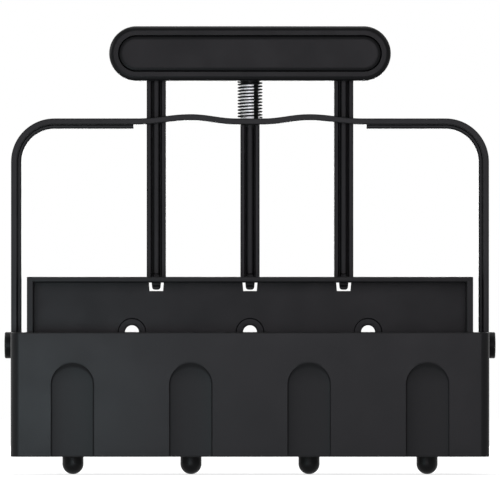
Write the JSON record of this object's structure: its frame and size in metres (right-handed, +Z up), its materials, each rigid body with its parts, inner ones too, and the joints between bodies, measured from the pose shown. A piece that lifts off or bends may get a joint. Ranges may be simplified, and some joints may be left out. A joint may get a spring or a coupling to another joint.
{
  "type": "soil blocker",
  "caption": "Hand tool with a row of open square moulds on a wavy bail, and a sprung plunger with press plates, dibbers and a stadium-shaped push handle.",
  "frame": {"origin": "on the floor under the middle of the row of moulds, where the dibber tips stand", "axes": "+X along the row of moulds to the right as the picture shows it, +Y to the rear, +Z up along the plunger's travel"},
  "size_m": [0.2198, 0.0568, 0.2003],
  "materials": {
    "mould_plastic": "black moulded plastic with a fine satin texture",
    "frame_plastic": "black moulded plastic, satin",
    "handle_plastic": "black moulded plastic, satin",
    "dibber_plastic": "black plastic rod, smooth",
    "pin_plastic": "black plastic, smooth",
    "spring_wire": "black oxide spring wire",
    "sleeve_steel": "bright rolled steel",
    "fastener_steel": "zinc-plated steel"
  },
  "bodies": {
    "mould": {"mould_housing": "mould_plastic", "bail_handle": "mould_plastic", "left_pivot_pin": "pin_plastic", "right_pivot_pin": "pin_plastic", "left_pivot_clip": "fastener_steel", "right_pivot_clip": "fastener_steel", "return_spring": "spring_wire"},
    "plunger": {"press_frame": "frame_plastic", "press_plate_1": "frame_plastic", "press_plate_2": "frame_plastic", "press_plate_3": "frame_plastic", "press_plate_4": "frame_plastic", "dibber_1": "dibber_plastic", "dibber_2": "dibber_plastic", "dibber_3": "dibber_plastic", "dibber_4": "dibber_plastic", "left_pillar": "frame_plastic", "centre_pillar": "frame_plastic", "right_pillar": "frame_plastic", "spring_guide_sleeve": "sleeve_steel", "handle_front_shell": "handle_plastic", "handle_rear_shell": "handle_plastic", "handle_face_plate": "handle_plastic", "handle_screws": "fastener_steel"}
  },
  "joints": [
    {"name": "plunger_slide", "type": "slide", "parent": "mould", "child": "plunger", "axis": [0, 0, -1], "range_m": [0, 0.009], "stiffness_N_per_m": 600, "springref_m": -0.008, "deforming": ["return_spring"]}
  ]
}
